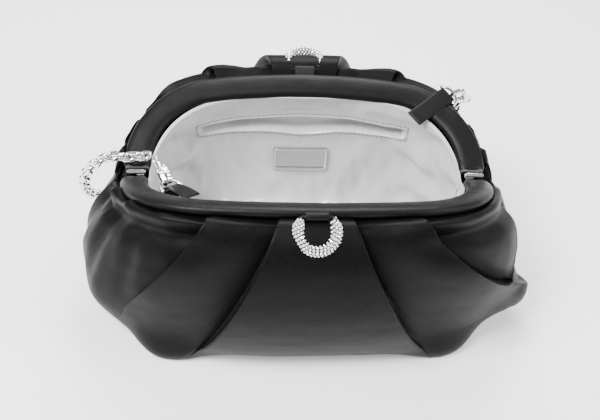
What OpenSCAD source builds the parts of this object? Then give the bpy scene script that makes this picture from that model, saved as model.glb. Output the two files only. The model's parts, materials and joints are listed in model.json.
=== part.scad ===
// Soft evening bag with a hinged, padded frame. It stands open, with both halves of the frame folded outwards.
// Frame of reference: X runs along the hinge line, Y from front to back, Z up.
// The origin is under the middle of the bag.

/* [Frame] */
// Width of the frame over the padded bands, at the hinges
frame_w = 230; // [226:1:234]
// Height of each half of the frame above the hinge axis
frame_h = 74; // [73:0.5:75]
// Width of the padded band
band_w = 16.5; // [16:0.1:17]
// Thickness of the padded band
band_t = 7; // [6.8:0.1:7.2]
// Angle of each half from upright, as the bag stands open
open_angle = 64; // [62:1:66]
// Height of the hinge axis above the table
hinge_z = 84; // [82:1:86]

/* [Body] */
// Half width of the bag at its widest
belly_w = 141; // [138:1:144]
// Thickness of the padded satin wall
wall_t = 1.6; // [1.4:0.1:2]
// Thickness of the lining
lining_t = 0.8; // [0.6:0.1:1]

/* [Hardware] */
// Outer radius of the pave horseshoe rings
ring_r = 14; // [13.5:0.5:14]
// Radius of the horseshoe's domed section
ring_tube = 3.4; // [3:0.1:3.5]
// Diameter of a crystal
stone_d = 2; // [1.9:0.1:2.1]
// Width over the strap chain's links
chain_d = 8; // [7:0.5:8]

/* [Hidden] */
$fn = 48;
band_gap = 1;              // from the closing plane to the band, which leaves room for the tabs
side_h = 8;                // straight part of the frame's sides
shoulder_r = 62;           // outer radius of the frame's shoulders
shoulder_x = frame_w / 2 - shoulder_r;
crown_r = (pow(shoulder_r, 2) - pow(shoulder_x, 2) - pow(side_h - frame_h, 2))
          / (2 * (side_h - frame_h + shoulder_r));
shoulder_angle = atan2(side_h - frame_h + crown_r, shoulder_x);
band_mid = band_gap + band_t / 2;
skin_t = 0.7;              // satin over the padding
slack = 0.05;              // between layers that are wrapped on each other
band_start = 3;            // where the padded band begins, above the hinge axis
bar_w = 10;
bar_t = 1.5;
bar_y = 5.45;              // middle of the steel bar, from the closing plane
plate_t = 1.2;
plate_y = bar_y - bar_t / 2 - plate_t / 2 - 0.02;
plate_h = 16;
knuckle_r = 1.95;
knuckle_len = 4.7;
knuckle_x = frame_w / 2 - band_w / 2 - 4.9;  // inner end of the inner knuckle
pin_r = 0.9;
rivet_r = 0.9;
rivet_z = [8, 14];
pivot_y = 4.5;             // a horseshoe ring's pivot bar, from the closing plane
pivot_z = [77.5, 78.5];      // front and rear pivot bars, along the half
ring_lie = [-44, 8];       // a ring's slope above the horizontal: front, rear
ring_drop = 8.2;           // from the pivot bar to the middle of the ring
ring_mid_r = ring_r - ring_tube;
ring_sweep = 210;
ring_tip = 6;              // length of the horseshoe's tapered tips
ring_core = ring_tube - 0.6;  // the metal under the stones
tab_t = 0.8;
tab_w = 13.4;
strap_tab_w = 11.6;
stone_rows = [-64, -32, 0, 32, 64];  // places of the stones round the ring's section
mouth_power = 0.476;       // how square the mouth's outline is
steps_round = 56;
steps_up = 11;

// ---------- helpers ----------

function unit(v) = v / norm(v);
function sgnpow(v, e) = sign(v) * pow(abs(v), e);
function bezier(p, v) = pow(1 - v, 3) * p[0] + 3 * v * pow(1 - v, 2) * p[1]
                        + 3 * v * v * (1 - v) * p[2] + v * v * v * p[3];
// A point of the front half (side -1) or rear half (side 1), from its own x, depth and height.
function on_half(side, x, depth, up) =
    [x, side * (up * sin(open_angle) + depth * cos(open_angle)),
     hinge_z + up * cos(open_angle) - depth * sin(open_angle)];

// Children are drawn in a half's own frame: closing plane at y = 0, band on the -y side, hinge axis at z = 0.
module front_half() {
    translate([0, 0, hinge_z]) rotate([open_angle, 0, 0]) children();
}
module rear_half() {
    mirror([0, 1, 0]) front_half() children();
}

// Children are drawn along +X from p, with their flat face normal to the given normal.
module aimed(p, along, normal) {
    x = unit(along);
    y = unit(cross(normal, x));
    z = cross(x, y);
    multmatrix([[x[0], y[0], z[0], p[0]], [x[1], y[1], z[1], p[1]], [x[2], y[2], z[2], p[2]], [0, 0, 0, 1]])
        children();
}

module stadium(w, t) {
    square([w - t, t], center = true);
    for (s = [-1, 1]) translate([s * (w - t) / 2, 0]) circle(d = t);
}

// ---------- frame ----------

// Stations along the arch, right end to left end: x and z of the band's middle line, then its outward normal.
function stations(start) =
    let (mid = band_w / 2, a = shoulder_angle,
         half = concat(
            [[frame_w / 2 - mid, start, 1, 0]],
            [for (i = [0:10]) let (t = a * i / 10, r = shoulder_r - mid)
                [shoulder_x + r * cos(t), side_h + r * sin(t), cos(t), sin(t)]],
            [for (i = [1:3]) let (t = a + (90 - a) * i / 3, r = crown_r - mid)
                [r * cos(t), frame_h - crown_r + r * sin(t), cos(t), sin(t)]]))
    concat(half, [for (i = [len(half) - 2:-1:0]) let (s = half[i]) [-s[0], s[1], -s[2], s[3]]]);

// Sections of 20 points, counter-clockwise, as [across the band, depth from the closing plane].
function round_section(w, t) = concat(
    [for (i = [0:9]) [(w - t) / 2 + t / 2 * cos(20 * i - 90), band_mid + t / 2 * sin(20 * i - 90)]],
    [for (i = [0:9]) [(t - w) / 2 + t / 2 * cos(20 * i + 90), band_mid + t / 2 * sin(20 * i + 90)]]);
function box_section(w, y0, y1) = concat(
    [for (i = [0:9]) [w / 2, y0 + (y1 - y0) * i / 9]],
    [for (i = [0:9]) [-w / 2, y1 - (y1 - y0) * i / 9]]);

// Sweeps a hollow section along the arch: outer and inner outlines with an open end at each hinge.
module hollow_arch(start, outer, inner) {
    st = stations(start);
    n = len(outer);
    m = n * len(st);
    last = n * (len(st) - 1);
    points = concat(
        [for (s = st) for (q = outer) [s[0] + q[0] * s[2], -q[1], s[1] + q[0] * s[3]]],
        [for (s = st) for (q = inner) [s[0] + q[0] * s[2], -q[1], s[1] + q[0] * s[3]]]);
    faces = concat(
        [for (i = [0:len(st) - 2]) for (k = [0:n - 1]) let (a = i * n + k, b = i * n + (k + 1) % n)
            each [[a, b + n, a + n], [a, b, b + n]]],
        [for (i = [0:len(st) - 2]) for (k = [0:n - 1]) let (a = m + i * n + k, b = m + i * n + (k + 1) % n)
            each [[a, a + n, b + n], [a, b + n, b]]],
        [for (k = [0:n - 1]) let (a = k, b = (k + 1) % n) each [[b, a, a + m], [b, a + m, b + m]]],
        [for (k = [0:n - 1]) let (a = last + k, b = last + (k + 1) % n)
            each [[a, b, b + m], [a, b + m, a + m]]]);
    polyhedron(points, faces, convexity = 8);
}

module bar() {
    st = stations(band_start + 1);
    edge = [for (s = st) [s[0] + bar_w / 2 * s[2], s[1] + bar_w / 2 * s[3]]];
    back = [for (i = [len(st) - 1:-1:0]) let (s = st[i]) [s[0] - bar_w / 2 * s[2], s[1] - bar_w / 2 * s[3]]];
    color("silver") difference() {
        translate([0, bar_t / 2 - bar_y, 0]) rotate([90, 0, 0])
            linear_extrude(bar_t) polygon(concat(edge, back));
        rivet_holes();
    }
}

module rivet_holes() {
    for (s = [-1, 1]) for (z = rivet_z)
        translate([s * (frame_w / 2 - band_w / 2), -bar_y, z]) rotate([90, 0, 0])
            cylinder(r = rivet_r + 0.02, h = 6, center = true, $fn = 24);
}

module rivets() {
    color("silver") for (s = [-1, 1]) for (z = rivet_z)
        translate([s * (frame_w / 2 - band_w / 2), -(bar_y + plate_y) / 2, z]) rotate([90, 0, 0])
            cylinder(r = rivet_r, h = bar_t + plate_t - 0.06, center = true, $fn = 24);
}

module padding() {
    gap = skin_t + slack;
    color("dimgray") hollow_arch(band_start + gap, round_section(band_w - 2 * gap, band_t - 2 * gap),
        box_section(bar_w + 2 * slack, plate_y - plate_t / 2 - slack, bar_y + bar_t / 2 + slack));
}

module cover() {
    color("black") hollow_arch(band_start, round_section(band_w, band_t),
        round_section(band_w - 2 * skin_t, band_t - 2 * skin_t));
}

module magnet() {
    color("gray") translate([-15, -plate_y - plate_t / 2, frame_h - band_w / 2 - 4.2]) cube([30, plate_t, 8.4]);
}

// A rolled knuckle on its plate. Side is 1 or -1, order 0 for the inner knuckle and 1 for the outer one.
module knuckle(side, order) {
    x0 = knuckle_x + order * (knuckle_len + 0.4);
    plate_x = frame_w / 2 - band_w / 2;
    color("silver") mirror([side < 0 ? 1 : 0, 0, 0]) difference() {
        union() {
            translate([x0, 0, 0]) rotate([0, 90, 0]) cylinder(r = knuckle_r, h = knuckle_len);
            translate([x0, -plate_y - plate_t / 2, -1.1]) cube([knuckle_len, plate_y + plate_t / 2 - 1.2, 2.2]);
            translate([x0, -plate_y - plate_t / 2, -1.1]) cube([knuckle_len, plate_t, 6.1]);
            translate([plate_x - 4.8, -plate_y - plate_t / 2, band_start + 1])
                cube([9, plate_t, plate_h - 3.2]);
        }
        translate([x0 - 1, 0, 0]) rotate([0, 90, 0]) cylinder(r = pin_r + 0.05, h = knuckle_len + 2, $fn = 32);
        for (z = rivet_z) translate([plate_x, -plate_y, z]) rotate([90, 0, 0])
            cylinder(r = rivet_r + 0.02, h = 6, center = true, $fn = 24);
    }
}

module hinge_pin(side) {
    len = 2 * knuckle_len + 0.4;
    color("silver") translate([0, 0, hinge_z]) mirror([side < 0 ? 1 : 0, 0, 0])
        translate([knuckle_x - 0.3, 0, 0]) rotate([0, 90, 0]) {
            cylinder(r = pin_r, h = len + 0.6, $fn = 32);
            translate([0, 0, -0.7]) cylinder(r = 1.4, h = 0.7, $fn = 32);
            translate([0, 0, len + 0.6]) cylinder(r = 1.4, h = 0.7, $fn = 32);
        }
}

// ---------- soft body ----------

// Point of the mouth's rim at angle t: w and h are its half width and height, depth is below the closing plane.
function mouth(t, w, h, depth) =
    let (up = h * pow(abs(sin(t)), 1.05), d = depth * min(1, 2.2 * abs(sin(t))))
    on_half(sin(t) < 0 ? -1 : 1, w * sgnpow(cos(t), mouth_power), d, up);
// An oval row of the wall; narrow takes that share off its width behind the hinge line.
function oval(t, a, b, power, z, narrow = 0) =
    [a * sgnpow(cos(t), power) * (1 - narrow * min(1, 1.5 * max(0, sin(t)))), b * sgnpow(sin(t), power), z];
function pick(t, front, rear) = sin(t) < 0 ? front : rear;

function shell_rows(t) = [
    oval(t, belly_w - 17, 70, 0.77, 0, 0.09),
    oval(t, belly_w + 7, pick(t, 108, 106), 0.77, pick(t, 15, 18), 0.15),
    oval(t, belly_w + 7, pick(t, 97, 100), 0.77, 70 + abs(sin(t)) * pick(t, 32, 56), 0.15),
    mouth(t, frame_w / 2 + 4.5, frame_h - 2, band_gap + band_t + 0.6)];
function lining_rows(t) = [
    oval(t, belly_w - 35, 56, 0.56, 5.6, 0.05),
    oval(t, belly_w - 21, 70, 0.56, 25, 0.075),
    oval(t, belly_w - 34, 64, 0.56, 70 + 25 * abs(sin(t)), 0.075),
    mouth(t, frame_w / 2 - band_w - 3.3, frame_h - band_w - 2.1, 5.4)];

function wall_point(which, t, v) = bezier(which == 0 ? shell_rows(t) : lining_rows(t), v);
function wall_normal(which, t, v) =
    let (u = wall_point(which, t + 2, v) - wall_point(which, t - 2, v),
         w = wall_point(which, t, min(1, v + 0.03)) - wall_point(which, t, max(0, v - 0.03)))
    unit(cross(u, w));

// A closed bowl: the outer wall, its rim, the inner wall and both floors.
module bowl(which, thick, floor_z) {
    n = steps_round;
    outer = [for (j = [0:steps_up]) for (i = [0:n - 1]) wall_point(which, i * 360 / n, j / steps_up)];
    inner = [for (j = [0:steps_up]) for (i = [0:n - 1])
        let (v = j / steps_up, t = i * 360 / n,
             q = wall_point(which, t, v) - thick * wall_normal(which, t, v))
        [q[0], q[1], j == 0 ? floor_z + thick : max(q[2], floor_z + thick + 0.02 * j)]];
    m = n * (steps_up + 1);
    points = concat(outer, inner, [[0, 0, floor_z], [0, 0, floor_z + thick]]);
    faces = concat(
        [for (j = [0:steps_up - 1]) for (i = [0:n - 1]) let (a = j * n + i, b = j * n + (i + 1) % n)
            each [[a, b + n, b], [a, a + n, b + n]]],
        [for (j = [0:steps_up - 1]) for (i = [0:n - 1]) let (a = m + j * n + i, b = m + j * n + (i + 1) % n)
            each [[a, b, b + n], [a, b + n, a + n]]],
        [for (i = [0:n - 1]) let (a = n * steps_up + i, b = n * steps_up + (i + 1) % n)
            each [[a, m + b, b], [a, m + a, m + b]]],
        [for (i = [0:n - 1]) [i, (i + 1) % n, 2 * m]],
        [for (i = [0:n - 1]) [m + i, 2 * m + 1, m + (i + 1) % n]]);
    polyhedron(points, faces, convexity = 6);
}

module satin_shell() {
    color("black") bowl(0, wall_t, 0);
}

// The pocket's slit: arched above, dipping below, grown by a margin.
slit_w = 139;
slit_z = 77;
module slit_outline(margin) {
    half = slit_w / 2 + margin;
    n = 16;
    top = [for (i = [0:n]) let (u = 1 - 2 * i / n) [half * u, 7.4 - 4.4 * u * u + margin]];
    bottom = [for (i = [0:n]) let (u = -1 + 2 * i / n) [half * u, -3.6 - 3.6 * exp(-18 * u * u) - margin]];
    polygon(concat(top, bottom));
}
module slit(margin, y0, y1) {
    translate([0, y1, slit_z]) rotate([90, 0, 0]) linear_extrude(y1 - y0) slit_outline(margin);
}

plate_x = 38;
plate_z = 19;
nameplate_z = 46;
nameplate_y = 62.6;
module prongs(r) {
    for (s = [-1, 1]) translate([s * 12, nameplate_y, nameplate_z]) rotate([-90, 0, 0])
        cylinder(r = r, h = 3.4, $fn = 24);
}

module lining() {
    color("lightgray") difference() {
        bowl(1, lining_t, 5.6);
        slit(4.2, 50, 68);
        prongs(1);
    }
}

module nameplate() {
    color("silver") difference() {
        union() {
            translate([-plate_x / 2, nameplate_y - 1.6, nameplate_z - plate_z / 2])
                cube([plate_x, 1.6, plate_z]);
            prongs(0.8);
        }
        translate([-plate_x / 2 + 2, nameplate_y - 3, nameplate_z - plate_z / 2 + 2])
            cube([plate_x - 4, 2, plate_z - 4]);
    }
}

module nameplate_backing() {
    color("gray") difference() {
        translate([-16, nameplate_y + 2.3, nameplate_z - 4]) cube([32, 0.8, 8]);
        prongs(0.85);
    }
}

pocket_y = 67.6;
pocket_depth = 7;
module pocket_welt() {
    color("lightgray") difference() {
        slit(3.9, 58.6, pocket_y - 0.1);
        slit(0, 50, 70);
    }
}

module pocket_bag() {
    skin = 0.8;
    color("lightgray") difference() {
        translate([-76, pocket_y, 26]) cube([152, pocket_depth, 64]);
        translate([-76 + skin, pocket_y + skin, 26 + skin])
            cube([152 - 2 * skin, pocket_depth - 2 * skin, 64 - 2 * skin]);
        slit(0, 60, pocket_y + 2);
    }
}

module base_board() {
    color("tan") translate([0, 0, wall_t + 0.5]) linear_extrude(2.4)
        offset(r = 45) square([120, 20], center = true);
}

// ---------- horseshoe rings and their tabs ----------

// Children are drawn with the pivot bar on the X axis and the ring lying towards -Y.
module at_pivot(which) {
    p = on_half(which == 0 ? -1 : 1, 0, pivot_y, pivot_z[which]);
    translate(p) mirror([0, which, 0]) rotate([-ring_lie[which], 0, 0]) children();
}

// Children are drawn along the tip's own axis, from where the arc ends.
module at_tip(side) {
    translate([0, -ring_drop, 0]) rotate([0, 0, side * (ring_sweep / 2 - 90)])
        translate([side * ring_mid_r, 0, 0]) rotate([-90, 0, 0]) children();
}

module horseshoe() {
    color("silver") {
        translate([0, -ring_drop, 0]) rotate([0, 0, 270 - ring_sweep / 2])
            rotate_extrude(angle = ring_sweep, $fn = 72)
                translate([ring_mid_r, 0]) circle(r = ring_core, $fn = 40);
        for (s = [-1, 1]) at_tip(s) cylinder(r1 = ring_core, r2 = 1.3, h = ring_tip);
        rotate([0, 90, 0]) cylinder(r = 1.1, h = 17.2, center = true, $fn = 32);
    }
}

module stone() {
    translate([0, 0, -0.55]) cylinder(d1 = stone_d * 0.5, d2 = stone_d, h = 0.9, $fn = 16);
}

module stones_in_row(row) {
    across = ring_mid_r + ring_tube * sin(row);
    count = floor(across * ring_sweep * PI / 180 / (stone_d + 0.22));
    step = ring_sweep / count;
    for (i = [0:count - 1])
        translate([0, -ring_drop, 0]) rotate([0, 0, 270 - ring_sweep / 2 + step * (i + 0.5)])
        translate([across, 0, ring_tube * cos(row)]) rotate([0, row, 0]) stone();
}

module stones() {
    color("white") {
        for (row = stone_rows) stones_in_row(row);
        for (s = [-1, 1]) at_tip(s) for (k = [0, 1]) for (row = k == 0 ? [-46, 0, 46] : [0])
            rotate([0, 0, row]) translate([0, 0.25 * (1.3 + 2.3 * k) - ring_tube, 1.3 + 2.3 * k])
                rotate([90 - 14, 0, 0]) stone();
    }
}

// A satin tab: it lies on the band's face, passes the outer edge and loops round the pivot bar.
module ring_tab(which) {
    loop_r = 2.2;
    up = pivot_z[which];
    color("black") rotate([90, 0, 90]) linear_extrude(tab_w, center = true) {
        difference() {
            union() {
                translate([-0.15 - tab_t, frame_h - band_w + 2]) square([tab_t, up - frame_h + band_w - 2]);
                translate([-pivot_y, up]) circle(r = loop_r, $fn = 40);
                translate([-pivot_y, up + loop_r - tab_t - 0.1]) square([pivot_y - 0.15, tab_t]);
                translate([-0.15 - tab_t, up - 0.5]) square([tab_t, loop_r + 0.4]);
            }
            translate([-pivot_y, up]) circle(r = 1.18, $fn = 40);
        }
    }
}

// ---------- strap: tabs, D-rings, lobster clasps and chain ----------

// Drawn along +X: the strip, then its loop. Length runs to the middle of the loop.
module strap_tab(length) {
    color("black") {
        difference() {
            union() {
                translate([-0.5, -strap_tab_w / 2, 2.1 - tab_t]) cube([length + 0.5, strap_tab_w, tab_t]);
                translate([length, 0, 0]) rotate([90, 0, 0])
                    cylinder(r = 2.1, h = strap_tab_w, center = true, $fn = 40);
            }
            translate([length, 0, 0]) rotate([90, 0, 0]) cylinder(r = 1.2, h = 14, center = true, $fn = 40);
        }
    }
}

dring_r = 7.4;
wire_r = 0.9;
module dring() {
    color("silver") {
        rotate([90, 0, 0]) cylinder(r = wire_r, h = 2 * dring_r, center = true, $fn = 24);
        rotate([0, 0, -90]) rotate_extrude(angle = 180, $fn = 48)
            translate([dring_r, 0]) circle(r = wire_r, $fn = 24);
        for (s = [-1, 1]) translate([0, s * dring_r, 0]) sphere(r = wire_r, $fn = 24);
    }
}

claw_len = 6;
claw_r = 4.2;
claw_hole = 2.1;
claw_t = 2.6;
gate_y = 3.1;
gate_x = 6;
module claw_shape(r) {
    translate([claw_len / 2, 0]) stadium(claw_len + 2 * r, 2 * r);
}

module clasp_body() {
    color("silver") difference() {
        union() {
            linear_extrude(claw_t, center = true) claw_shape(claw_r);
            translate([claw_len + claw_hole + 1, 0, 0]) rotate([0, 90, 0]) cylinder(r = 1.9, h = 3.8);
        }
        linear_extrude(claw_t + 2, center = true) claw_shape(claw_hole);
        translate([-1, 0.8, -claw_t]) cube([5.2, 5, 2 * claw_t]);
        translate([2, 1.7, -1]) cube([7.4, 4, 2]);
        translate([gate_x, gate_y, 0]) cylinder(r = 0.55, h = 4, center = true, $fn = 24);
        translate([claw_len + claw_hole + 2, 0, 0]) rotate([0, 90, 0]) cylinder(r = 1.3, h = 1.2, $fn = 32);
        translate([claw_len + claw_hole + 2, 0, 0]) rotate([0, 90, 0]) cylinder(r = 0.85, h = 4, $fn = 32);
    }
}

module clasp_rivet() {
    color("silver") translate([gate_x, gate_y, 0]) cylinder(r = 0.5, h = claw_t, center = true, $fn = 24);
}

module clasp_gate() {
    color("silver") difference() {
        union() {
            linear_extrude(1.8, center = true) {
                translate([-0.9, gate_y - 0.9]) square([gate_x + 0.9, 1.7]);
                translate([gate_x, gate_y]) circle(r = 1.1, $fn = 32);
            }
            translate([1.8, gate_y + 1.5, 0]) cylinder(r = 1.1, h = 1.8, center = true, $fn = 32);
        }
        translate([gate_x, gate_y, 0]) cylinder(r = 0.56, h = 4, center = true, $fn = 24);
    }
}

module clasp_eye() {
    x0 = claw_len + claw_hole + 2.05;
    color("silver") {
        translate([x0, 0, 0]) rotate([0, 90, 0]) cylinder(r = 1.22, h = 1, $fn = 32);
        translate([x0, 0, 0]) rotate([0, 90, 0]) cylinder(r = 0.8, h = 4, $fn = 32);
        translate([x0 + 6, 0, 0]) rotate_extrude($fn = 40) translate([2.4, 0]) circle(r = 0.75, $fn = 24);
    }
}

// Places of the right strap hardware, on the rear half, and of the left, on the front half.
right_start = on_half(1, 73, 2.3, 42.5);
right_loop = on_half(1, 94.2, 2.3, 59.1);
right_face = on_half(1, 0, -1, 0) - on_half(1, 0, 0, 0);
right_dring_dir = [0.741, 0.671, -0.054];
left_start = on_half(-1, -70, 4.9, 42);
left_loop = on_half(-1, -82, 2.6, 29);
left_face = [0.1, 0.25, 0.96];
left_dring_dir = [-0.62, 0.77, 0.1];

module right_strap_tab() {
    aimed(right_start, right_loop - right_start, right_face) strap_tab(norm(right_loop - right_start));
}
module left_strap_tab() {
    aimed(left_start, left_loop - left_start, left_face) strap_tab(norm(left_loop - left_start));
}
module at_right_dring() {
    aimed(right_loop, right_dring_dir, right_face) children();
}
module at_left_dring() {
    aimed(left_loop, left_dring_dir, left_face) children();
}
// A claw on the D-ring's wire: turned round the D by turn, then tipped about the wire.
module at_clasp(turn, tip) {
    rotate([0, 0, turn]) translate([dring_r, 0, 0]) rotate([0, tip, 0]) rotate([90, 0, 0])
        translate([0.8, 0.8, 0]) children();
}
module at_right_clasp() {
    at_right_dring() at_clasp(-19, 29) children();
}
module at_left_clasp() {
    at_left_dring() at_clasp(-8, -9) children();
}

// The chain's route, from the left clasp over the hinge, round the back on the table and up to the right clasp.
chain_route = [
    [-98, -2, 98.5], [-105, 1.5, 95.5], [-113, 4.5, 92], [-122.5, 7, 90.5], [-132, 10, 83.4],
    [-140.4, 14, 71.8], [-145, 22, 56.5], [-147, 34, 39], [-144, 49, 21], [-135, 63, 8], [-120, 76, 4.5],
    [-98, 85, 4.5],
    [-70, 89, 4.5], [-38, 91, 4.5], [-4, 92, 4.5], [30, 92, 4.5], [58, 92, 4.5], [80, 91, 6], [95, 88, 15],
    [103, 86, 31], [105, 84, 49], [106, 82, 65], [108, 78, 79], [111, 73, 90]];

// Smooth curve through the route's points.
function spline(p, i, u) =
    let (a = p[max(i - 1, 0)], b = p[i], c = p[i + 1], d = p[min(i + 2, len(p) - 1)])
    0.5 * (2 * b + u * (c - a) + u * u * (2 * a - 5 * b + 4 * c - d) + u * u * u * (3 * b - a - 3 * c + d));

module tube(route, r, per_span, sides) {
    line = concat([for (i = [0:len(route) - 2]) for (k = [0:per_span - 1]) spline(route, i, k / per_span)],
                  [route[len(route) - 1]]);
    n = len(line);
    rings = [for (i = [0:n - 1])
        let (d = unit(line[min(i + 1, n - 1)] - line[max(i - 1, 0)]),
             x = unit(cross(d, [0.1, 0.2, 1])), y = cross(d, x))
        for (k = [0:sides - 1]) line[i] + r * (cos(360 * k / sides) * x + sin(360 * k / sides) * y)];
    faces = concat([[for (k = [0:sides - 1]) k]], [[for (k = [sides - 1:-1:0]) (n - 1) * sides + k]],
        [for (i = [0:n - 2]) for (k = [0:sides - 1])
            let (a = i * sides + k, b = i * sides + (k + 1) % sides)
                each [[a, a + sides, b + sides], [a, b + sides, b]]]);
    polyhedron(rings, faces, convexity = 8);
}

module chain() {
    color("silver") tube(chain_route, chain_d / 2, 2, 8);
}

satin_shell();
lining();
base_board();
pocket_welt();
pocket_bag();
nameplate();
nameplate_backing();
hinge_pin(-1);  // hinge_pin_left
hinge_pin(1);  // hinge_pin_right
front_half() bar();  // front_bar
front_half() padding();  // front_padding
front_half() cover();  // front_cover
front_half() knuckle(-1, 0);  // front_knuckle_left
front_half() knuckle(1, 0);  // front_knuckle_right
front_half() rivets();  // front_rivets
front_half() magnet();  // front_magnet
front_half() ring_tab(0);  // front_ring_tab
at_pivot(0) horseshoe();  // front_ring
at_pivot(0) stones();  // front_ring_stones
rear_half() bar();  // rear_bar
rear_half() padding();  // rear_padding
rear_half() cover();  // rear_cover
rear_half() knuckle(-1, 1);  // rear_knuckle_left
rear_half() knuckle(1, 1);  // rear_knuckle_right
rear_half() rivets();  // rear_rivets
rear_half() magnet();  // rear_magnet
rear_half() ring_tab(1);  // rear_ring_tab
at_pivot(1) horseshoe();  // rear_ring
at_pivot(1) stones();  // rear_ring_stones
left_strap_tab();  // strap_tab_left
at_left_dring() dring();  // strap_dring_left
at_left_clasp() clasp_body();  // clasp_left
at_left_clasp() clasp_gate();  // clasp_gate_left
at_left_clasp() clasp_rivet();  // clasp_rivet_left
at_left_clasp() clasp_eye();  // clasp_eye_left
right_strap_tab();  // strap_tab_right
at_right_dring() dring();  // strap_dring_right
at_right_clasp() clasp_body();  // clasp_right
at_right_clasp() clasp_gate();  // clasp_gate_right
at_right_clasp() clasp_rivet();  // clasp_rivet_right
at_right_clasp() clasp_eye();  // clasp_eye_right
chain();
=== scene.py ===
"""An open satin evening bag with a padded hinged frame.

The visible cloth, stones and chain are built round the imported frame. Lengths are in millimetres,
and mesh_object turns them into metres.
"""
import json
import math

import bpy
import numpy as np
from mathutils import Matrix, Vector


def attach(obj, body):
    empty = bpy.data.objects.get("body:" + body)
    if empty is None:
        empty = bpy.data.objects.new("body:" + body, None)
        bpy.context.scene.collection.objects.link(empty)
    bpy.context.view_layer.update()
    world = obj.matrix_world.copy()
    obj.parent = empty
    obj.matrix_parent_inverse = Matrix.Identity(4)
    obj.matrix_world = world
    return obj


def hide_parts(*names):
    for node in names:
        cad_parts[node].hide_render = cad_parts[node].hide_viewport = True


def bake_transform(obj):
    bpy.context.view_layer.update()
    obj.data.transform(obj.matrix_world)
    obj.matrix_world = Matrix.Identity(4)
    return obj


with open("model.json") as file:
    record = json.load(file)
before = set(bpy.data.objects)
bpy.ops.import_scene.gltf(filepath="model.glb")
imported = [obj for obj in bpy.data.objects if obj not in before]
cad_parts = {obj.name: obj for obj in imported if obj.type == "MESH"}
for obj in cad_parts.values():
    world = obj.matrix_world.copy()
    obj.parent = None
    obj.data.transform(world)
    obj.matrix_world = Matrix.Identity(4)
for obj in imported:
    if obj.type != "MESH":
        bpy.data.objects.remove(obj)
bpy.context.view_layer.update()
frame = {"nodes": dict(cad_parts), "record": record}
MM = 0.001
OPEN = math.radians(64)
SIN, COS = math.sin(OPEN), math.cos(OPEN)
HINGE_Z = 84.0


# ---------- small helpers ----------

def smooth(a, b, x):
    """A smooth step from 0 at a to 1 at b. b may be below a."""
    t = np.clip((np.asarray(x, float) - a) / (b - a), 0, 1)
    return t * t * (3 - 2 * t)


def unit(v):
    v = np.asarray(v, float)
    return v / np.maximum(np.linalg.norm(v, axis=-1, keepdims=True), 1e-12)


def spline(points, per):
    """Catmull-Rom through the first axis of points."""
    p = np.asarray(points, float)
    p = np.concatenate([2 * p[:1] - p[1:2], p, 2 * p[-1:] - p[-2:-1]])
    out = []
    for i in range(1, len(p) - 2):
        for k in range(per):
            u = k / per
            a, b, c, d = p[i - 1], p[i], p[i + 1], p[i + 2]
            out.append(0.5 * (2 * b + u * (c - a) + u * u * (2 * a - 5 * b + 4 * c - d)
                              + u ** 3 * (3 * b - a - 3 * c + d)))
    out.append(p[-2])
    return np.array(out)


def noise(p, size, seed=0, octaves=3):
    """Smooth value noise made of turned sine waves, for points (..., 3)."""
    rng = np.random.default_rng(seed)
    total = np.zeros(p.shape[:-1])
    for o in range(octaves):
        for _ in range(5):
            d = rng.normal(size=3)
            d /= np.linalg.norm(d)
            total += np.sin((p @ d) * (2 * math.pi / size) * 2 ** o * rng.uniform(0.7, 1.4)
                            + rng.uniform(0, 6.28)) / (2.2 * 2 ** o)
    return total / 2


def mesh_object(name, verts, faces, material, smooth_shade=True):
    """A mesh object from points in millimetres."""
    mesh = bpy.data.meshes.new(name)
    mesh.from_pydata((np.asarray(verts, float) * MM).tolist(), [], [list(map(int, f)) for f in faces])
    mesh.validate()
    mesh.update()
    if smooth_shade:
        mesh.polygons.foreach_set("use_smooth", [True] * len(mesh.polygons))
    o = bpy.data.objects.new(name, mesh)
    bpy.context.scene.collection.objects.link(o)
    if material:
        mesh.materials.append(material)
    return o


def grid_faces(rows, cols, wrap=False, flip=False):
    """Quads of a grid of points. wrap joins its last column to its first."""
    out = []
    for j in range(rows - 1):
        for i in range(cols if wrap else cols - 1):
            a, b = j * cols + i, j * cols + (i + 1) % cols
            q = [a, b, b + cols, a + cols]
            out.append(q[::-1] if flip else q)
    return out


def grid_object(name, pts, material, wrap=False, flip=False):
    """A grid of points (rows, cols, 3) as a surface."""
    rows, cols = pts.shape[:2]
    return mesh_object(name, pts.reshape(-1, 3), grid_faces(rows, cols, wrap, flip), material)


def sweep(line, radius_x, radius_y, sides, normal=None, closed=False, caps=True):
    """Points and faces of a tube round a line, with an elliptical section held to a normal."""
    line = np.asarray(line, float)
    n = len(line)
    if closed:
        tan = unit(np.roll(line, -1, 0) - np.roll(line, 1, 0))
    else:
        tan = unit(np.gradient(line, axis=0))
    if normal is None:
        ref = np.zeros_like(tan)
        v = np.cross(tan[0], [0.13, 0.31, 1.0])
        for i in range(n):
            v = v - tan[i] * (v @ tan[i])
            v /= np.linalg.norm(v)
            ref[i] = v
    else:
        ref = unit(np.asarray(normal, float) - tan * (tan * normal).sum(-1, keepdims=True))
    side = np.cross(tan, ref)
    rx = np.broadcast_to(radius_x, n)[:, None, None]
    ry = np.broadcast_to(radius_y, n)[:, None, None]
    a = np.linspace(0, 2 * math.pi, sides, endpoint=False)
    pts = (line[:, None] + rx * np.cos(a)[None, :, None] * side[:, None]
           + ry * np.sin(a)[None, :, None] * ref[:, None])
    verts = pts.reshape(-1, 3)
    faces = []
    for j in range(n if closed else n - 1):
        for i in range(sides):
            a0, b0 = j * sides + i, j * sides + (i + 1) % sides
            a1, b1 = ((j + 1) % n) * sides + i, ((j + 1) % n) * sides + (i + 1) % sides
            faces.append([a0, b0, b1, a1])
    if caps and not closed:
        faces.append(list(range(sides))[::-1])
        faces.append([(n - 1) * sides + i for i in range(sides)])
    return verts, faces


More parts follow.
